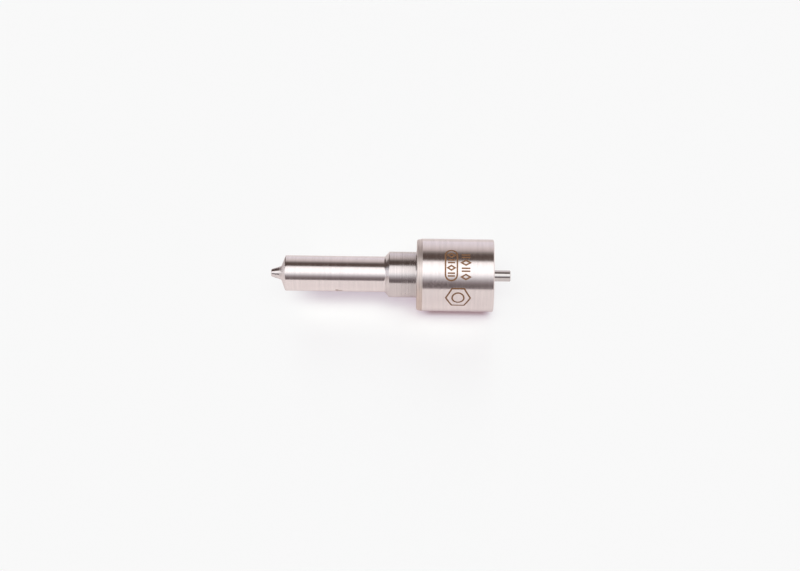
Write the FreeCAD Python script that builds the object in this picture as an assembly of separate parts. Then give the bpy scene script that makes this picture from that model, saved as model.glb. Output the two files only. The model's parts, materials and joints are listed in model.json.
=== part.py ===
"""Diesel injector nozzle: a turned and ground nozzle body with its lapped needle valve.

The nozzle lies along X with its spray tip towards -X and +Z up. The origin is the centre of the lapped
rear face, the plane that the nozzle is set from when it is clamped in its holder. Lengths are in
millimetres. Every outline is drawn as (x, radius) and turned about the X axis. The outlines are drawn on
the underside, so the seams of the turned faces lie there.
"""

import math
import os

import FreeCAD
import Part

V = FreeCAD.Vector
AXIS = V(1, 0, 0)

# ---- Driving dimensions: outside of the body ----
BODY_LENGTH = 43.8
COLLAR_D = 14.3
COLLAR_LENGTH = 15.1
NECK_D = 9.0
NECK_LENGTH = 5.4
STEM_D = 7.0
NECK_CONE_DEG = 50.0  # half angle of the step from neck to stem
NOSE_LENGTH = 2.03
NOSE_BASE_D = 2.7
NOSE_END_D = 1.42
FRONT_CONE_LENGTH = 0.82

# ---- Edge breaks on the outside of the body ----
REAR_CHAMFER = 0.15
LEAD_IN_LENGTH = 1.1  # taper at the front of the collar, back to its full diameter
LEAD_IN_DEG = 14.0
FRONT_RIM_LENGTH = 0.17  # steeper break between that taper and the front shoulder
FRONT_RIM_DEG = 58.0
FRONT_RIM_ROUND = 0.15
SHOULDER_EDGE_ROUND = 0.1
SHOULDER_FILLET = 0.25
NECK_EDGE_ROUND = 0.2
STEM_FILLET = 0.4
STEM_EDGE_ROUND = 0.25
NOSE_FILLET = 0.25
NOSE_END_ROUND = 0.35

# ---- Inside of the body ----
GUIDE_D = 4.03
GUIDE_LENGTH = 11.6
GUIDE_MOUTH_CHAMFER = 0.25
CHAMBER_D = 7.0
CHAMBER_LENGTH = 4.6
ANNULUS_D = 3.5
SEAT_START = 40.0  # from the rear face to the wide end of the conical seat
SEAT_HALF_DEG = 30.0
SAC_D = 0.9
SAC_WALL_LENGTH = 0.4

SPRAY_HOLES = 6
SPRAY_HOLE_D = 0.24
SPRAY_CONE_DEG = 150.0  # cone that the jets lie on
SPRAY_START = 42.55  # from the rear face to where the hole axes leave the nozzle axis

FUEL_DUCT_D = 1.5
FUEL_DUCT_REAR_RADIUS = 4.9  # of the duct's axis at the rear face
FUEL_DUCT_FRONT_RADIUS = 2.7  # of the duct's axis where it ends, halfway along the chamber
FUEL_DUCT_DEG = 0.0  # places round the rear face are measured from +Z towards +Y

DOWEL_HOLE_D = 1.8
DOWEL_HOLE_DEPTH = 4.0
DOWEL_HOLE_RADIUS = 4.8
DOWEL_HOLE_DEGS = (115.0, 245.0)
DOWEL_HOLE_CHAMFER = 0.15
DRILL_POINT_HALF_DEG = 59.0

# ---- Needle ----
NEEDLE_GUIDE_D = 4.0
NEEDLE_LIFT = 0.25  # the needle's rear shoulder sits this far inside the body's rear face
NEEDLE_GUIDE_CHAMFER = 0.2
TAIL_D = 2.2
TAIL_STICK_OUT = 3.4
TAIL_CHAMFER = 0.12
TAIL_FILLET = NEEDLE_LIFT  # so the tail is a plain cylinder from the rear face outwards
NEEDLE_GUIDE_END = 12.2  # from the rear face to the end of the guide, inside the chamber
PRESSURE_SHOULDER_HALF_DEG = 40.0
SHANK_D = 2.9
SHANK_UNDERCUT_D = 2.7
SHANK_UNDERCUT_LENGTH = 0.6
SEAT_LINE_D = 2.2
SEAT_CLEARANCE = 0.01  # along the axis
NEEDLE_CONE_ABOVE_HALF_DEG = 29.5  # between the shank and the seat line
NEEDLE_CONE_BELOW_HALF_DEG = 30.5  # between the seat line and the tip
NEEDLE_TIP_D = 0.6
NEEDLE_TIP_HEIGHT = 0.08

OVERRUN = 1.0  # how far a cutting tool starts outside the material


def tan_deg(angle):
    return math.tan(math.radians(angle))


def on_outline(x, radius):
    return V(x, 0, -radius)


def outline_edges(corners):
    """Lines through the corners, (x, radius) or (x, radius, round), with a tangent arc at each rounded one."""
    points = [on_outline(c[0], c[1]) for c in corners]
    starts = list(points)
    ends = list(points)
    arcs = {}
    for i, corner in enumerate(corners):
        if len(corner) < 3:
            continue
        here = points[i]
        back = (points[i - 1] - here).normalize()
        ahead = (points[i + 1] - here).normalize()
        half = back.getAngle(ahead) / 2
        reach = corner[2] / math.tan(half)
        centre = here + (back + ahead).normalize() * (corner[2] / math.sin(half))
        middle = centre + (here - centre).normalize() * corner[2]
        ends[i] = here + back * reach
        starts[i] = here + ahead * reach
        arcs[i] = Part.Arc(ends[i], middle, starts[i]).toShape()
    edges = []
    for i in range(len(points) - 1):
        edges.append(Part.LineSegment(starts[i], ends[i + 1]).toShape())
        if i + 1 in arcs:
            edges.append(arcs[i + 1])
    return edges


def turned(edges):
    """The solid turned about X from edges that start and end on the axis."""
    first = edges[0].firstVertex().Point
    last = edges[-1].lastVertex().Point
    closing = Part.LineSegment(last, first).toShape()
    face = Part.Face(Part.Wire(edges + [closing]))
    return face.revolve(V(0, 0, 0), AXIS, 360)


def around(radius, angle_deg, x=0.0):
    """The point at that radius, at an angle measured from +Z towards +Y."""
    angle = math.radians(angle_deg)
    return V(x, radius * math.sin(angle), radius * math.cos(angle))


def body_outside():
    """The turned outside: collar, neck, stem, front cone and blunt nose."""
    collar_r = COLLAR_D / 2
    rim_r = collar_r - (LEAD_IN_LENGTH - FRONT_RIM_LENGTH) * tan_deg(LEAD_IN_DEG)
    shoulder_r = rim_r - FRONT_RIM_LENGTH * tan_deg(FRONT_RIM_DEG)
    neck_end = COLLAR_LENGTH + NECK_LENGTH
    stem_start = neck_end + (NECK_D - STEM_D) / 2 / tan_deg(NECK_CONE_DEG)
    nose_start = BODY_LENGTH - NOSE_LENGTH
    return turned(outline_edges([
        (0, 0),
        (0, collar_r - REAR_CHAMFER),
        (-REAR_CHAMFER, collar_r),
        (-COLLAR_LENGTH + LEAD_IN_LENGTH, collar_r),
        (-COLLAR_LENGTH + FRONT_RIM_LENGTH, rim_r, FRONT_RIM_ROUND),
        (-COLLAR_LENGTH, shoulder_r, SHOULDER_EDGE_ROUND),
        (-COLLAR_LENGTH, NECK_D / 2, SHOULDER_FILLET),
        (-neck_end, NECK_D / 2, NECK_EDGE_ROUND),
        (-stem_start, STEM_D / 2, STEM_FILLET),
        (-nose_start + FRONT_CONE_LENGTH, STEM_D / 2, STEM_EDGE_ROUND),
        (-nose_start, NOSE_BASE_D / 2, NOSE_FILLET),
        (-BODY_LENGTH, NOSE_END_D / 2, NOSE_END_ROUND),
        (-BODY_LENGTH, 0),
    ]))


def body_cavity():
    """Guide bore, pressure chamber, annular passage, conical seat and sac, as one turned tool."""
    guide_r = GUIDE_D / 2
    annulus_r = ANNULUS_D / 2
    sac_r = SAC_D / 2
    chamber_end = GUIDE_LENGTH + CHAMBER_LENGTH
    sac_start = SEAT_START + (annulus_r - sac_r) / tan_deg(SEAT_HALF_DEG)
    sac_dome = sac_start + SAC_WALL_LENGTH
    mouth = outline_edges([
        (OVERRUN, 0),
        (OVERRUN, guide_r + GUIDE_MOUTH_CHAMFER + OVERRUN),
        (-GUIDE_MOUTH_CHAMFER, guide_r),
        (-GUIDE_LENGTH, guide_r),
    ])
    chamber = Part.Arc(
        on_outline(-GUIDE_LENGTH, guide_r),
        on_outline(-GUIDE_LENGTH - CHAMBER_LENGTH / 2, CHAMBER_D / 2),
        on_outline(-chamber_end, annulus_r),
    ).toShape()
    passage = outline_edges([
        (-chamber_end, annulus_r),
        (-SEAT_START, annulus_r),
        (-sac_start, sac_r),
        (-sac_dome, sac_r),
    ])
    dome_middle = math.sqrt(0.5) * sac_r
    dome = Part.Arc(
        on_outline(-sac_dome, sac_r),
        on_outline(-sac_dome - dome_middle, dome_middle),
        on_outline(-sac_dome - sac_r, 0),
    ).toShape()
    return turned(mouth + [chamber] + passage + [dome])


def spray_holes():
    """Drills for the ring of spray holes, from inside the sac out through the nose."""
    half = math.radians(SPRAY_CONE_DEG / 2)
    drills = []
    for i in range(SPRAY_HOLES):
        outward = around(1, 360 * i / SPRAY_HOLES)
        direction = outward * math.sin(half) - AXIS * math.cos(half)
        drills.append(Part.makeCylinder(SPRAY_HOLE_D / 2, NOSE_BASE_D, V(-SPRAY_START, 0, 0), direction))
    return drills


def fuel_duct():
    """The drill for the slanted feed from the rear face into the pressure chamber."""
    rear = around(FUEL_DUCT_REAR_RADIUS, FUEL_DUCT_DEG)
    front = around(FUEL_DUCT_FRONT_RADIUS, FUEL_DUCT_DEG, -GUIDE_LENGTH - CHAMBER_LENGTH / 2)
    direction = (rear - front).normalize()
    length = (rear - front).Length + OVERRUN
    return Part.makeCylinder(FUEL_DUCT_D / 2, length, front, direction)


def dowel_hole(angle_deg):
    """The drill for one blind dowel hole, with its mouth chamfer and drill point."""
    r = DOWEL_HOLE_D / 2
    tool = turned(outline_edges([
        (OVERRUN, 0),
        (OVERRUN, r + DOWEL_HOLE_CHAMFER + OVERRUN),
        (-DOWEL_HOLE_CHAMFER, r),
        (-DOWEL_HOLE_DEPTH, r),
        (-DOWEL_HOLE_DEPTH - r / tan_deg(DRILL_POINT_HALF_DEG), 0),
    ]))
    tool.translate(around(DOWEL_HOLE_RADIUS, angle_deg))
    return tool


def nozzle_body():
    tools = [body_cavity(), fuel_duct(), *spray_holes()]
    tools += [dowel_hole(angle) for angle in DOWEL_HOLE_DEGS]
    return body_outside().cut(tools)


def nozzle_needle():
    """Tail pin, lapped guide, pressure shoulder, shank and double-cone tip, resting on its seat."""
    guide_r = NEEDLE_GUIDE_D / 2
    shank_r = SHANK_D / 2
    undercut_r = SHANK_UNDERCUT_D / 2
    seat_r = SEAT_LINE_D / 2
    tip_r = NEEDLE_TIP_D / 2
    shoulder_end = NEEDLE_GUIDE_END + (guide_r - undercut_r) / tan_deg(PRESSURE_SHOULDER_HALF_DEG)
    undercut_end = shoulder_end + SHANK_UNDERCUT_LENGTH
    seat_line = SEAT_START + (ANNULUS_D / 2 - seat_r) / tan_deg(SEAT_HALF_DEG) - SEAT_CLEARANCE
    cone_start = seat_line - (shank_r - seat_r) / tan_deg(NEEDLE_CONE_ABOVE_HALF_DEG)
    tip_start = seat_line + (seat_r - tip_r) / tan_deg(NEEDLE_CONE_BELOW_HALF_DEG)
    return turned(outline_edges([
        (TAIL_STICK_OUT, 0),
        (TAIL_STICK_OUT, TAIL_D / 2 - TAIL_CHAMFER),
        (TAIL_STICK_OUT - TAIL_CHAMFER, TAIL_D / 2),
        (-NEEDLE_LIFT, TAIL_D / 2, TAIL_FILLET),
        (-NEEDLE_LIFT, guide_r - NEEDLE_GUIDE_CHAMFER),
        (-NEEDLE_LIFT - NEEDLE_GUIDE_CHAMFER, guide_r),
        (-NEEDLE_GUIDE_END, guide_r),
        (-shoulder_end, undercut_r),
        (-undercut_end, undercut_r),
        (-undercut_end - (shank_r - undercut_r), shank_r),
        (-cone_start, shank_r),
        (-seat_line, seat_r),
        (-tip_start, tip_r),
        (-tip_start - NEEDLE_TIP_HEIGHT, 0),
    ]))


NODES = {
    "nozzle_body": nozzle_body,
    "nozzle_needle": nozzle_needle,
}


def main():
    os.makedirs("parts", exist_ok=True)
    for name, make in NODES.items():
        shape = make()
        solids = shape.Solids
        print(name, "solids", len(solids), "valid", shape.isValid(), "volume", round(shape.Volume, 2))
        shape.exportStep(os.path.join("parts", name + ".step"))


main()
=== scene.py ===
"""Looks for the diesel injector nozzle: camera, studio, steel finishes and the etched marks.

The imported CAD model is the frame. It lies along X with its spray nose towards -X and its rear face at the
origin. Sizes here are in millimetres unless a name says otherwise, and MM turns them into Blender's metres.
"""

import json
import math

import bmesh
import bpy
from mathutils import Matrix, Vector


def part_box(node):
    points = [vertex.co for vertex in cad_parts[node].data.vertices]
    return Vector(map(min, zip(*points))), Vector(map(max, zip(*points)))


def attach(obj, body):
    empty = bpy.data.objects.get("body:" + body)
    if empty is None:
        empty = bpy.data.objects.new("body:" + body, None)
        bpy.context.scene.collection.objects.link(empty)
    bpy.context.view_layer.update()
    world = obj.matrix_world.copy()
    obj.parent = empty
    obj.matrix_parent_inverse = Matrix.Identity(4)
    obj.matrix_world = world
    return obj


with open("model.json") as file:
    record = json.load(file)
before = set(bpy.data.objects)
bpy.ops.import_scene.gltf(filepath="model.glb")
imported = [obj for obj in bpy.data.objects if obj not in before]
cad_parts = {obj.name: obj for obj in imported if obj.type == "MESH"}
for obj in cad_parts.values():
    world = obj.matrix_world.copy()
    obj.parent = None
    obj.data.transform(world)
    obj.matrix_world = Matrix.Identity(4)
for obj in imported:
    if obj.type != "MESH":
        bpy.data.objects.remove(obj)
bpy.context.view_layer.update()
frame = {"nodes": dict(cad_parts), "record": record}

MM = 0.001
MOUNTS = {mount["name"]: mount for mount in frame["record"]["mounts"]}
BODY_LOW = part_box("nozzle_body")[0]


def mount_radius(name):
    return MOUNTS[name]["dims"]["r_mm"]


def mount_span(name):
    """The first and last x, in mm, of a round mount that lies along the axis."""
    middle = MOUNTS[name]["pos_m"][0] / MM
    half = MOUNTS[name]["dims"]["length_mm"] / 2
    return middle - half, middle + half


COLLAR_R = mount_radius("collar_od")
NECK_R = mount_radius("neck_od")
STEM_R = mount_radius("stem_od")
COLLAR_FRONT = mount_span("collar_od")[0]
NECK_BACK = mount_span("neck_od")[1]
STEM_FRONT, STEM_BACK = mount_span("stem_od")
SHOULDER_X = MOUNTS["clamp_shoulder"]["pos_m"][0] / MM


# ---- Camera ----

CAMERA_LENS = 99.0
CAMERA_SENSOR = 36.0
CAMERA_DISTANCE = 434.0
CAMERA_ELEVATION = math.radians(45.0)
CAMERA_ROLL = math.radians(0.8)
AIM_X = -18.34
AIM_BELOW_AXIS = 2.17  # the axis lies this far above the picture's centre
CAMERA_CLIP = (0.01, 10.0)  # in metres


def make_camera():
    cam = bpy.data.cameras.new("camera")
    cam.lens = CAMERA_LENS
    cam.sensor_width = CAMERA_SENSOR
    cam.clip_start, cam.clip_end = CAMERA_CLIP
    obj = bpy.data.objects.new("camera", cam)
    bpy.context.scene.collection.objects.link(obj)
    back = Vector((0, -math.cos(CAMERA_ELEVATION), math.sin(CAMERA_ELEVATION)))
    up = Vector((0, math.sin(CAMERA_ELEVATION), math.cos(CAMERA_ELEVATION)))
    right = up.cross(back)
    turn = Matrix((right, up, back)).transposed().to_4x4()
    aim = Vector((AIM_X, 0, 0)) - up * AIM_BELOW_AXIS
    place = Matrix.Translation((aim + back * CAMERA_DISTANCE) * MM)
    obj.matrix_world = place @ turn @ Matrix.Rotation(CAMERA_ROLL, 4, "Z")
    bpy.context.scene.camera = obj


# ---- Node helpers ----


class Nodes:
    """A node tree that is built in code: add a node, set its inputs, join it to others."""

    def __init__(self, tree):
        self.tree = tree
        tree.nodes.clear()

    def add(self, kind, settings=None, **inputs):
        node = self.tree.nodes.new(kind)
        for name, value in (settings or {}).items():
            setattr(node, name, value)
        for name, value in inputs.items():
            self.feed(node, name.replace("_", " "), value)
        return node

    def feed(self, node, name, value):
        socket = node.inputs[int(name)] if name.isdigit() else node.inputs[name]
        if isinstance(value, bpy.types.NodeSocket):
            self.tree.links.new(value, socket)
        else:
            socket.default_value = value

    def math(self, operation, *values):
        node = self.tree.nodes.new("ShaderNodeMath")
        node.operation = operation
        for i, value in enumerate(values):
            self.feed(node, str(i), value)
        return node.outputs[0]

    def step(self, value, low, high, to_low=0.0, to_high=1.0):
        """A smooth step from to_low to to_high as value goes from low to high."""
        node = self.tree.nodes.new("ShaderNodeMapRange")
        node.interpolation_type = "SMOOTHSTEP"
        self.feed(node, "Value", value)
        for name, number in (("From Min", low), ("From Max", high), ("To Min", to_low), ("To Max", to_high)):
            self.feed(node, name, number)
        return node.outputs["Result"]

    def mix(self, factor, first, second, blend="MIX"):
        node = self.tree.nodes.new("ShaderNodeMix")
        node.data_type = "RGBA"
        node.blend_type = blend
        self.feed(node, "0", factor)
        self.feed(node, "6", first)
        self.feed(node, "7", second)
        return node.outputs[2]

    def ramp(self, value, stops):
        node = self.tree.nodes.new("ShaderNodeValToRGB")
        elements = node.color_ramp.elements
        while len(elements) < len(stops):
            elements.new(0.5)
        for element, (position, colour) in zip(elements, stops):
            element.position = position
            element.color = (*colour, 1.0)
        self.feed(node, "Fac", value)
        return node.outputs["Color"]


def in_millimetres(n):
    """The object's own x, y and z in millimetres."""
    point = n.add("ShaderNodeTexCoord").outputs["Object"]
    scaled = n.add("ShaderNodeVectorMath", {"operation": "SCALE"}, **{"0": point, "Scale": 1 / MM})
    return scaled.outputs[0]


def grey(n, value):
    return n.add("ShaderNodeCombineXYZ", X=value, Y=value, Z=value).outputs[0]


# ---- Studio ----

# Light round the studio by its angle in degrees, from the front horizon over the top (90) to the back: a
# dark card low in front, a big softbox overhead, the dark room behind it, then a pale backdrop.
STUDIO_ARC = (
    (-4, (0.91, 0.83, 0.83)),
    (-1, (0.60, 0.53, 0.535)),
    (1.5, (0.36, 0.312, 0.316)),
    (4, (0.22, 0.187, 0.19)),
    (9, (0.195, 0.162, 0.165)),
    (16, (0.223, 0.187, 0.19)),
    (21, (0.315, 0.27, 0.28)),
    (27, (0.455, 0.42, 0.435)),
    (34, (0.70, 0.675, 0.695)),
    (40, (0.97, 0.955, 0.98)),
    (46, (1.27, 1.27, 1.30)),
    (53, (1.50, 1.47, 1.47)),
    (60, (1.57, 1.54, 1.54)),
    (72, (1.54, 1.50, 1.50)),
    (80, (1.44, 1.40, 1.40)),
    (86, (1.30, 1.27, 1.27)),
    (89, (0.93, 0.88, 0.87)),
    (92, (0.385, 0.345, 0.333)),
    (95.5, (0.132, 0.103, 0.093)),
    (106, (0.117, 0.084, 0.074)),
    (114, (0.132, 0.103, 0.093)),
    (119, (0.213, 0.178, 0.167)),
    (124, (0.375, 0.327, 0.315)),
    (131, (0.63, 0.555, 0.545)),
    (140, (0.79, 0.71, 0.71)),
    (150, (0.89, 0.82, 0.84)),
    (162, (0.95, 0.89, 0.94)),
    (180, (1.02, 0.965, 1.03)),
)
BRIGHTEST = 2.0  # a colour ramp holds values up to 1, so the arc is stored divided by this
LEFT_SIDE = (1.55, 1.60, 1.70)
RIGHT_SIDE = (1.15, 1.08, 1.07)
BACKDROP = (0.947, 0.947, 0.947)
LEFT_EDGE = (-0.97, -0.90)  # how far along X, on a unit sphere, the arc gives way to each side
RIGHT_EDGE = (0.66, 0.85)
DARK_ROOM = (0.14, 0.105, 0.095)  # also shows at the back on the left, where the backdrop ends
DARK_ROOM_EDGE = (-0.42, -0.18)
DARK_ROOM_FROM = (100, 112)  # degrees round the arc

# The lamps light the floor, and the steel mirrors the studio instead of them. Each is its height in degrees,
# the degrees round from the front towards the left, and its share of the light on the open floor.
LAMPS = (
    (60, 0, 0.42),
    (60, 60, 0.18),
    (60, -60, 0.25),
    (30, 90, 0.04),
    (30, 180, 0.11),
)
LAMP_WIDTH = math.radians(40)  # a lamp's size as it looks from the nozzle

FLOOR_SIZE = 6000.0
FLOOR_GAP = 0.001  # between the floor and the collar that lies on it
FLOOR_WHITE = 0.945  # what the open floor shows, lit and glowing together
FLOOR_COLOUR = (0.44, 0.51, 0.442)  # the lit part; the rest glows as on a light table, so shadows stay pale
SHADOW_STARTS_X = (-42, -33)  # the floor glows more round the nozzle's two ends, so shadows fade out there
SHADOW_AT_START = (0.12, 1.2)  # their strength from the nose inwards
SHADOW_ENDS_X = (-1.5, 1.5)
SHADOW_AT_END = 0.3  # and past the rear face
# Painted reflection: only where the steel mirrors the floor is its colour changed, warmer, brighter on the
# left, and dark far off at the back on the left.
FLOOR_MIRRORED = (1.013, 0.935, 0.926)  # the floor is warmer by this much where the steel mirrors it,
FLOOR_REFLECTION_LEFT_GAIN = 1.07  # and brighter by this much on the left
FLOOR_REFLECTION_LEFT_X = (-36, -17)
FLOOR_REFLECTION_DARK_X = (-130, -60)  # and there it is dark far off at the back on the left, like the room
FLOOR_REFLECTION_DARK_Y = (20, 60)
# Painted contact shadow: the floor's own shader darkens by an occlusion mask where the collar lies close to
# it, and glows a warm dark colour there.
CONTACT_REACH = 1.2  # the floor darkens where something stands closer to it than this
CONTACT_FADE = 0.85  # by up to this much
CONTACT_COLOUR = (0.15, 0.02, 0.0)  # and towards this, the warm light that the steel throws back,
CONTACT_STARTS_X = (-14.2, -11.8)  # except towards the two ends of the collar, where light gets under it
CONTACT_ENDS_X = (-2.3, -0.2)
CONTACT_SAMPLES = 8


def turn_at(degrees):
    """A place on the studio arc as a part of a full turn that starts and ends straight down."""
    return (degrees + 90) / 360


def make_world():
    world = bpy.data.worlds.new("studio")
    bpy.context.scene.world = world
    world.use_nodes = True
    world.cycles_visibility.diffuse = False
    n = Nodes(world.node_tree)
    direction = n.add("ShaderNodeTexCoord").outputs["Generated"]
    xyz = n.add("ShaderNodeSeparateXYZ", Vector=direction).outputs
    past_top = n.math("ARCTAN2", xyz["Y"], xyz["Z"])
    turn = n.math("ADD", n.math("DIVIDE", past_top, math.tau), 0.5)
    stops = [(turn_at(degrees), [c / BRIGHTEST for c in colour]) for degrees, colour in STUDIO_ARC]
    arc = n.ramp(turn, stops)
    arc = n.add("ShaderNodeVectorMath", {"operation": "SCALE"}, **{"0": arc, "Scale": BRIGHTEST}).outputs[0]
    low_at_back = n.step(turn, *[turn_at(degrees) for degrees in DARK_ROOM_FROM])
    dark_room = n.math("MULTIPLY", low_at_back, n.step(xyz["X"], *DARK_ROOM_EDGE, 1.0, 0.0))
    light = n.mix(dark_room, arc, (*DARK_ROOM, 1))
    light = n.mix(n.step(xyz["X"], *LEFT_EDGE, 1.0, 0.0), light, (*LEFT_SIDE, 1))
    light = n.mix(n.step(xyz["X"], *RIGHT_EDGE), light, (*RIGHT_SIDE, 1))
    seen = n.add("ShaderNodeLightPath").outputs["Is Camera Ray"]
    colour = n.mix(seen, light, (*BACKDROP, 1))
    background = n.add("ShaderNodeBackground", Color=colour, Strength=1.0)
    n.add("ShaderNodeOutputWorld", Surface=background.outputs[0])


def make_lamps():
    for i, (height, round_left, share) in enumerate(LAMPS):
        up = math.radians(height)
        round_ = math.radians(round_left)
        lamp = bpy.data.lights.new(f"lamp_{i}", "SUN")
        lamp.angle = LAMP_WIDTH
        lamp.energy = math.pi * share / math.sin(up)
        obj = bpy.data.objects.new(f"lamp_{i}", lamp)
        towards = Vector((-math.sin(round_) * math.cos(up), -math.cos(round_) * math.cos(up), math.sin(up)))
        obj.rotation_euler = towards.to_track_quat("Z", "Y").to_euler()
        obj.visible_glossy = False
        bpy.context.scene.collection.objects.link(obj)


def make_floor():
    mesh = bpy.data.meshes.new("floor")
    half = FLOOR_SIZE / 2 * MM
    z = BODY_LOW.z - FLOOR_GAP * MM
    corners = [(-half, -half, z), (half, -half, z), (half, half, z), (-half, half, z)]
    mesh.from_pydata(corners, [], [(0, 1, 2, 3)])
    obj = bpy.data.objects.new("floor", mesh)
    bpy.context.scene.collection.objects.link(obj)
    material = bpy.data.materials.new("floor_white")
    material.use_nodes = True
    n = Nodes(material.node_tree)
    seen = n.add("ShaderNodeLightPath").outputs["Is Camera Ray"]
    xyz = n.add("ShaderNodeSeparateXYZ", Vector=in_millimetres(n)).outputs
    far_left = n.step(xyz["X"], *FLOOR_REFLECTION_DARK_X, 1.0, 0.0)
    dark = n.math("MULTIPLY", far_left, n.step(xyz["Y"], *FLOOR_REFLECTION_DARK_Y))
    start = n.step(xyz["X"], *SHADOW_STARTS_X, *SHADOW_AT_START)
    strength = grey(n, n.math("MULTIPLY", start, n.step(xyz["X"], *SHADOW_ENDS_X, 1.0, SHADOW_AT_END)))
    matt_colour = n.mix(1.0, (*FLOOR_COLOUR, 1), strength, "MULTIPLY")
    glow_colour = n.mix(1.0, (FLOOR_WHITE, FLOOR_WHITE, FLOOR_WHITE, 1), matt_colour, "SUBTRACT")
    left_gain = grey(n, n.step(xyz["X"], *FLOOR_REFLECTION_LEFT_X, FLOOR_REFLECTION_LEFT_GAIN, 1.0))

    # painted reflection: what the steel mirrors of the floor differs from what the camera sees
    def floor_colour(colour, dark_colour):
        mirrored = n.mix(1.0, colour, (*FLOOR_MIRRORED, 1), "MULTIPLY")
        mirrored = n.mix(1.0, mirrored, left_gain, "MULTIPLY")
        return n.mix(seen, n.mix(dark, mirrored, (*dark_colour, 1)), colour)

    matt = n.add("ShaderNodeBsdfDiffuse", Color=floor_colour(matt_colour, (0, 0, 0))).outputs[0]
    glow = n.add("ShaderNodeEmission", Color=floor_colour(glow_colour, DARK_ROOM), Strength=1.0).outputs[0]
    lit = n.add("ShaderNodeAddShader", **{"0": matt, "1": glow}).outputs[0]
    # painted contact shadow, mixed over the lit floor
    painted_contact_shade = n.add("ShaderNodeEmission", Color=(*CONTACT_COLOUR, 1), Strength=1.0).outputs[0]
    occlusion = n.add("ShaderNodeAmbientOcclusion", {"samples": CONTACT_SAMPLES}, Distance=CONTACT_REACH * MM)
    covered = n.math("SUBTRACT", 1.0, occlusion.outputs["AO"])
    under = n.step(xyz["X"], *CONTACT_STARTS_X)
    fade = n.math("MULTIPLY", under, n.step(xyz["X"], *CONTACT_ENDS_X, CONTACT_FADE, 0.0))
    shown = n.math("SUBTRACT", 1.0, n.math("MULTIPLY", covered, fade))
    surface = n.add("ShaderNodeMixShader", **{"0": shown, "1": painted_contact_shade, "2": lit})
    n.add("ShaderNodeOutputMaterial", Surface=surface.outputs[0])
    mesh.materials.append(material)


# ---- Steel ----

BODY_STEEL = (0.74, 0.69, 0.68)
NEEDLE_STEEL = (0.59, 0.57, 0.56)  # lapped harder steel, a little darker than the body
GRAZING_TINT = (0.86, 0.85, 0.85, 1)  # bare iron dims a little where it is seen nearly edge on
DRAWN_OUT = 0.6  # grinding lines draw a mirrored light out across them
DRAWN_OUT_TURN = 0.25  # of a full turn

# Each finish is a noise given by its pitch along the axis and its length round it.
FINE_LINES = (0.06, 6.0)
BROAD_LINES = (0.5, 9.0)
TURNED_RINGS = (0.22, 30.0)
WEAR = (0.22, 2.2)
SCRATCHES = (0.28, 0.4)
NOISE_LOW, NOISE_HIGH = 0.3, 0.7  # nearly all of a noise lies between these
NOISE_DETAIL = 3.0
NOISE_ROUGHNESS = 0.6
RINGS_DETAIL = 2.0
SHARP_EDGE = 0.03  # half the width of the step between two finishes

# How far each finish lightens and darkens its steel.
GROUND_SHADES = (0.95, 1.04)
LAPPED_SHADES = (0.96, 1.04)
NECK_SHADES = (0.78, 0.90)
COARSE_NECK_SHADES = (0.68, 0.90)
LEAD_IN_SHADES = (0.88, 1.15)
SCRATCHED_SHADES = (0.76, 1.2)

BODY_ROUGHNESS = (0.08, 0.25)
NEEDLE_ROUGHNESS = (0.05, 0.10)
COARSE_NECK_ROUGHER = 0.06
LEAD_IN_ROUGHER = 0.42
NOSE_FILLET_ROUGHER = 0.35
LINE_DEPTH = 0.002  # of the fine lines
BODY_LINES_SHOW = 0.3
NEEDLE_LINES_SHOW = 0.15

LEAD_IN_STEEL = (0.69, 0.595, 0.54)  # browner low down, and painted paler on top where light falls on it
LEAD_IN_LIT_TOP_STEEL = (0.84, 0.77, 0.735)
LEAD_IN_LIT_TOP_Z = (1.0, 4.5)
LEAD_IN_X = (SHOULDER_X - 0.1, COLLAR_FRONT)
LEAD_IN_RADIUS = (NECK_R + 0.22, NECK_R + 0.28)  # outside the fillet between neck and shoulder
NOSE_STEEL = (0.65, 0.613, 0.608)
NOSE_BACK = BODY_LOW.x / MM + 1.6  # behind it a fillet runs into the front cone
NOSE_EDGE = 0.15
NECK_EDGE = 0.1
NECK_X = (STEM_BACK + 0.2, NECK_BACK + 0.3)
NECK_FINISH_CHANGE = -18.3  # the neck is turned more coarsely behind this place
NECK_CHANGE_EDGE = 0.25
NECK_SHADE_AT_COLLAR = 0.92  # and is painted darker by this much where it meets the collar: painted shade from the collar's face
SCUFFED_X = (-13.3, -8.8)  # handling has scratched a patch on the front of the collar
SCUFFED_Z = (2.75, 4.2)
SCUFFED_Y = (-1.0, 0.0)  # on the near side only
SCUFFED_EDGE_X = 0.6
SCUFFED_EDGE_Z = 0.3


def streaks(n, point, pitch, length, detail=NOISE_DETAIL):
    """Noise drawn out round the axis: fine lines that a lathe or a grinding wheel leaves, from 0 to 1."""
    squeezed = n.add(
        "ShaderNodeVectorMath",
        {"operation": "MULTIPLY"},
        **{"0": point, "1": (1 / pitch, 1 / length, 1 / length)},
    )
    settings = {"Scale": 1.0, "Detail": detail, "Roughness": NOISE_ROUGHNESS}
    return n.add("ShaderNodeTexNoise", Vector=squeezed.outputs[0], **settings).outputs[0]


def blotches(n, point, pitch, length, low, high, detail=NOISE_DETAIL):
    """Streaks stretched to run from low to high over most of their range."""
    value = streaks(n, point, pitch, length, detail)
    return n.add(
        "ShaderNodeMapRange",
        **{"Value": value, "From Min": NOISE_LOW, "From Max": NOISE_HIGH, "To Min": low, "To Max": high},
    ).outputs[0]


def between(n, value, low, high, blur=SHARP_EDGE):
    """1 where the value lies between low and high, 0 outside."""
    above = n.step(value, low - blur, low + blur)
    below = n.step(value, high - blur, high + blur, 1.0, 0.0)
    return n.math("MULTIPLY", above, below)


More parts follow.
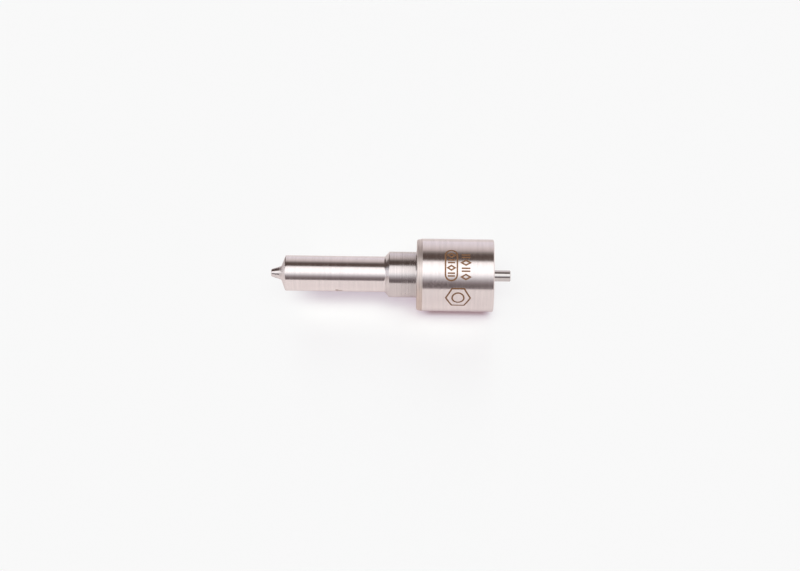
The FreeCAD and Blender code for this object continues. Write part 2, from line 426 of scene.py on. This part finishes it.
def steel_shader(n, colour, roughness, normal):
    tangent = n.add("ShaderNodeTangent", {"direction_type": "RADIAL", "axis": "X"}).outputs[0]
    shader = n.add("ShaderNodeBsdfPrincipled", Tangent=tangent, Roughness=roughness, Normal=normal)
    n.feed(shader, "Base Color", colour)
    n.feed(shader, "Metallic", 1.0)
    n.feed(shader, "Specular Tint", GRAZING_TINT)
    n.feed(shader, "Anisotropic", DRAWN_OUT)
    n.feed(shader, "Anisotropic Rotation", DRAWN_OUT_TURN)
    n.add("ShaderNodeOutputMaterial", Surface=shader.outputs[0])


def tinted(n, colour, low, high, value):
    """A colour times a number that runs from low to high with the value."""
    return n.mix(value, (*[c * low for c in colour], 1), (*[c * high for c in colour], 1))


def make_body_steel():
    """Ground steel, with a turned neck painted darker where the collar shades it, a brown lead-in painted
    paler on top where light falls, and a duller nose.
    """
    material = bpy.data.materials.new("ground_steel_finish")
    material.use_nodes = True
    n = Nodes(material.node_tree)
    point = in_millimetres(n)
    xyz = n.add("ShaderNodeSeparateXYZ", Vector=point).outputs
    x = xyz["X"]
    radius = n.math("SQRT", n.math("ADD", n.math("POWER", xyz["Y"], 2.0), n.math("POWER", xyz["Z"], 2.0)))
    outside_neck = n.step(radius, *LEAD_IN_RADIUS)
    lead_in = n.math("MULTIPLY", between(n, x, *LEAD_IN_X), outside_neck)
    neck = between(n, x, *NECK_X, NECK_EDGE)
    coarse = n.step(x, NECK_FINISH_CHANGE - NECK_CHANGE_EDGE, NECK_FINISH_CHANGE + NECK_CHANGE_EDGE)
    coarse_neck = n.math("MULTIPLY", neck, coarse)

    fine = streaks(n, point, *FINE_LINES)
    broad = blotches(n, point, *BROAD_LINES, 0.0, 1.0)
    rings = blotches(n, point, *TURNED_RINGS, 0.0, 1.0, RINGS_DETAIL)
    colour = tinted(n, BODY_STEEL, *GROUND_SHADES, broad)
    neck_colour = tinted(n, BODY_STEEL, *NECK_SHADES, rings)
    # painted shade: the coarse neck turns darker towards the collar
    painted_collar_shade = grey(n, n.step(x, NECK_FINISH_CHANGE, NECK_BACK, 1.0, NECK_SHADE_AT_COLLAR))
    coarse_colour = n.mix(1.0, tinted(n, BODY_STEEL, *COARSE_NECK_SHADES, rings), painted_collar_shade, "MULTIPLY")
    # painted light: the lead-in's colour turns paler towards the top
    painted_lit_top = n.step(xyz["Z"], *LEAD_IN_LIT_TOP_Z)
    lead_in_colour = n.mix(painted_lit_top, (*LEAD_IN_STEEL, 1), (*LEAD_IN_LIT_TOP_STEEL, 1))
    lead_in_colour = n.mix(1.0, lead_in_colour, tinted(n, (1, 1, 1), *LEAD_IN_SHADES, rings), "MULTIPLY")
    colour = n.mix(neck, colour, neck_colour)
    colour = n.mix(coarse_neck, colour, coarse_colour)
    colour = n.mix(lead_in, colour, lead_in_colour)
    colour = n.mix(n.step(x, NOSE_BACK - NOSE_EDGE, NOSE_BACK + NOSE_EDGE), (*NOSE_STEEL, 1), colour)
    scuffed_x = between(n, x, *SCUFFED_X, SCUFFED_EDGE_X)
    scuffed_z = between(n, xyz["Z"], *SCUFFED_Z, SCUFFED_EDGE_Z)
    scuffed = n.math("MULTIPLY", scuffed_x, scuffed_z)
    scuffed = n.math("MULTIPLY", scuffed, n.step(xyz["Y"], *SCUFFED_Y, 1.0, 0.0))
    scratches = grey(n, blotches(n, point, *SCRATCHES, *SCRATCHED_SHADES))
    colour = n.mix(scuffed, colour, n.mix(1.0, colour, scratches, "MULTIPLY"))

    nose_fillet = between(n, x, NOSE_BACK, STEM_FRONT - NOSE_EDGE)
    rough = blotches(n, point, *WEAR, *BODY_ROUGHNESS)
    rough = n.math("MULTIPLY_ADD", coarse_neck, COARSE_NECK_ROUGHER, rough)
    rough = n.math("MULTIPLY_ADD", lead_in, LEAD_IN_ROUGHER, rough)
    rough = n.math("MULTIPLY_ADD", nose_fillet, NOSE_FILLET_ROUGHER, rough)
    bump = n.add("ShaderNodeBump", Strength=BODY_LINES_SHOW, Distance=LINE_DEPTH * MM, Height=fine)
    steel_shader(n, colour, rough, bump.outputs[0])
    return material


def make_needle_steel():
    """Lapped steel, finer and smoother than the body."""
    material = bpy.data.materials.new("lapped_steel_finish")
    material.use_nodes = True
    n = Nodes(material.node_tree)
    point = in_millimetres(n)
    fine = streaks(n, point, *FINE_LINES)
    broad = blotches(n, point, *BROAD_LINES, 0.0, 1.0)
    rough = blotches(n, point, *FINE_LINES, *NEEDLE_ROUGHNESS)
    bump = n.add("ShaderNodeBump", Strength=NEEDLE_LINES_SHOW, Distance=LINE_DEPTH * MM, Height=fine)
    steel_shader(n, tinted(n, NEEDLE_STEEL, *LAPPED_SHADES, broad), rough, bump.outputs[0])
    return material


def give(node, material):
    for slot in frame["nodes"][node].material_slots:
        slot.material = material


# ---- Etched marks ----

ETCH_PROUD = 0.008  # the oxide lines stand this far out of the steel
ETCH_SUNK = 0.04  # and reach this far into it
ETCH_STEP = 0.25  # the longest flat stretch of a line laid round the collar

MITRE_LIMIT = 0.3  # a corner of a line reaches out no further than the half width divided by this
OXIDE_DARK = (0.15, 0.072, 0.032, 1)
OXIDE_PALE = (0.27, 0.14, 0.07, 1)
OXIDE_GRAIN = 6.0  # per millimetre
OXIDE_ROUGHNESS = 0.5
OXIDE_METALLIC = 0.3

# Places round the collar and the stem are angles up from the front horizon.
LINE_WIDTH = 0.31
FRAME_X = -8.4
FRAME_WIDTH = 2.3
FRAME_TOP_DEG = 87.0
FRAME_BOTTOM_DEG = 36.4
FRAME_END_STEPS = 12  # in each of its half-round ends
FRAME_MARGIN = 0.5  # above and below the pattern in it
FRAME_PATTERN_WIDTH = 1.4
COLUMN_X = -5.57
COLUMN_WIDTH = 1.7
COLUMN_TOP_DEG = 81.8
COLUMN_BOTTOM_DEG = 36.6
CELLS = 4  # in each pattern, by turns a diamond and a double bar
CELL_FILL = 0.34  # of a cell's height, from its middle to the tip of a diamond
BAR_PLACE = 0.6  # of that height, from the middle to each bar
HEX_X = -7.02
HEX_DEG = 6.7
HEX_R = 2.4
HEX_RING_R = 1.15
HEX_RING_POINTS = 24
NICK_DEG = -22.0
NICK = ((-31.0, 0.0), (-30.5, -0.1))  # along X and up from that angle
NICK_WIDTH = 0.42
NICK_TAIL = ((-30.6, -0.08), (-29.7, -0.25))
NICK_TAIL_WIDTH = 0.24


def make_mark_material():
    material = bpy.data.materials.new("laser_oxide")
    material.use_nodes = True
    n = Nodes(material.node_tree)
    point = in_millimetres(n)
    noise = n.add("ShaderNodeTexNoise", Vector=point, Scale=OXIDE_GRAIN, Detail=NOISE_DETAIL).outputs[0]
    colour = n.mix(noise, OXIDE_DARK, OXIDE_PALE)
    shader = n.add("ShaderNodeBsdfPrincipled", Roughness=OXIDE_ROUGHNESS)
    n.feed(shader, "Base Color", colour)
    n.feed(shader, "Metallic", OXIDE_METALLIC)
    n.add("ShaderNodeOutputMaterial", Surface=shader.outputs[0])
    return material


def divided(points, closed):
    """The same line with points added so that no stretch is longer than ETCH_STEP."""
    out = []
    count = len(points) if closed else len(points) - 1
    for i in range(count):
        a = Vector(points[i])
        b = Vector(points[(i + 1) % len(points)])
        pieces = max(1, math.ceil((b - a).length / ETCH_STEP))
        out.extend(a.lerp(b, k / pieces) for k in range(pieces))
    if not closed:
        out.append(Vector(points[-1]))
    return out


def side_points(points, closed, half):
    """Points to the left and right of a line, mitred at its corners."""
    left = []
    right = []
    last = len(points) - 1
    for i, point in enumerate(points):
        before = points[i - 1] if i or closed else None
        after = points[(i + 1) % len(points)] if i < last or closed else None
        ways = []
        if before is not None:
            ways.append((point - before).normalized())
        if after is not None:
            ways.append((after - point).normalized())
        along = sum(ways, Vector((0, 0))).normalized()
        across = Vector((-along.y, along.x))
        reach = half / max(MITRE_LIMIT, along.dot(ways[0]))
        left.append(point + across * reach)
        right.append(point - across * reach)
    return left, right


def wrap(point, radius, level):
    """A flat point (x, arc length up from the front horizon) laid on a cylinder round the axis, in metres."""
    angle = point.y / radius
    r = radius + level
    return Vector((point.x, -r * math.cos(angle), r * math.sin(angle))) * MM


def etch(name, lines, radius, width=LINE_WIDTH):
    """One mark: each line is (flat points, closed), made into a thin closed plate let into the cylinder."""
    bm = bmesh.new()
    for points, closed in lines:
        left, right = side_points(divided(points, closed), closed, width / 2)
        rings = []
        for a, b in zip(left, right):
            rings.append([
                bm.verts.new(wrap(a, radius, -ETCH_SUNK)),
                bm.verts.new(wrap(a, radius, ETCH_PROUD)),
                bm.verts.new(wrap(b, radius, ETCH_PROUD)),
                bm.verts.new(wrap(b, radius, -ETCH_SUNK)),
            ])
        count = len(rings) if closed else len(rings) - 1
        for i in range(count):
            ring = rings[i]
            following = rings[(i + 1) % len(rings)]
            for k in range(4):
                m = (k + 1) % 4
                bm.faces.new((ring[k], following[k], following[m], ring[m]))
        if not closed:
            bm.faces.new(rings[0])
            bm.faces.new(reversed(rings[-1]))
    bmesh.ops.recalc_face_normals(bm, faces=bm.faces)
    mesh = bpy.data.meshes.new(name)
    bm.to_mesh(mesh)
    bm.free()
    mesh.materials.append(MARK_MATERIAL)
    obj = bpy.data.objects.new(name, mesh)
    bpy.context.scene.collection.objects.link(obj)
    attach(obj, "body")


def arc_of(degrees, radius):
    return math.radians(degrees) * radius


def round_points(x, y, radius, start_deg, end_deg, count):
    """Points along an arc in the flat."""
    out = []
    for i in range(count + 1):
        a = math.radians(start_deg + (end_deg - start_deg) * i / count)
        out.append(Vector((x + radius * math.cos(a), y + radius * math.sin(a))))
    return out


def pattern(x, bottom, top, width, first):
    """A column of plain diamonds and double bars, one in each cell; first is 1 to start with a diamond."""
    lines = []
    pitch = (top - bottom) / CELLS
    for i in range(CELLS):
        y = bottom + pitch * (i + 0.5)
        across = width / 2
        up = pitch * CELL_FILL
        if (i + first) % 2:
            corners = ((-across, 0), (0, up), (across, 0), (0, -up))
            lines.append(([Vector((x + dx, y + dy)) for dx, dy in corners], True))
            continue
        for dy in (-up * BAR_PLACE, up * BAR_PLACE):
            lines.append(([Vector((x - across, y + dy)), Vector((x + across, y + dy))], False))
    return lines


def make_marks():
    top = arc_of(FRAME_TOP_DEG, COLLAR_R)
    bottom = arc_of(FRAME_BOTTOM_DEG, COLLAR_R)
    r = FRAME_WIDTH / 2
    frame_line = round_points(FRAME_X, top - r, r, 0, 180, FRAME_END_STEPS)
    frame_line += round_points(FRAME_X, bottom + r, r, 180, 360, FRAME_END_STEPS)
    etch("mark_frame", [(frame_line, True)], COLLAR_R)
    lines = pattern(FRAME_X, bottom + FRAME_MARGIN, top - FRAME_MARGIN, FRAME_PATTERN_WIDTH, 0)
    etch("mark_frame_pattern", lines, COLLAR_R)
    top = arc_of(COLUMN_TOP_DEG, COLLAR_R)
    bottom = arc_of(COLUMN_BOTTOM_DEG, COLLAR_R)
    etch("mark_column_pattern", pattern(COLUMN_X, bottom, top, COLUMN_WIDTH, 1), COLLAR_R)

    y = arc_of(HEX_DEG, COLLAR_R)
    corners = [
        Vector((HEX_X + HEX_R * math.cos(a), y + HEX_R * math.sin(a)))
        for a in (math.tau * i / 6 for i in range(6))
    ]
    ring = round_points(HEX_X, y, HEX_RING_R, 0, 360 - 360 / HEX_RING_POINTS, HEX_RING_POINTS - 1)
    etch("mark_hexagon", [(corners, True), (ring, True)], COLLAR_R)

    y = arc_of(NICK_DEG, STEM_R)
    for name, line, width in (("mark_nick", NICK, NICK_WIDTH), ("mark_nick_tail", NICK_TAIL, NICK_TAIL_WIDTH)):
        etch(name, [([Vector((x, y + up)) for x, up in line], False)], STEM_R, width)


MARK_MATERIAL = make_mark_material()

scene = bpy.context.scene
scene.view_settings.view_transform = "Standard"
scene.view_settings.look = "None"

make_camera()
make_world()
make_lamps()
make_floor()
give("nozzle_body", make_body_steel())
give("nozzle_needle", make_needle_steel())
make_marks()
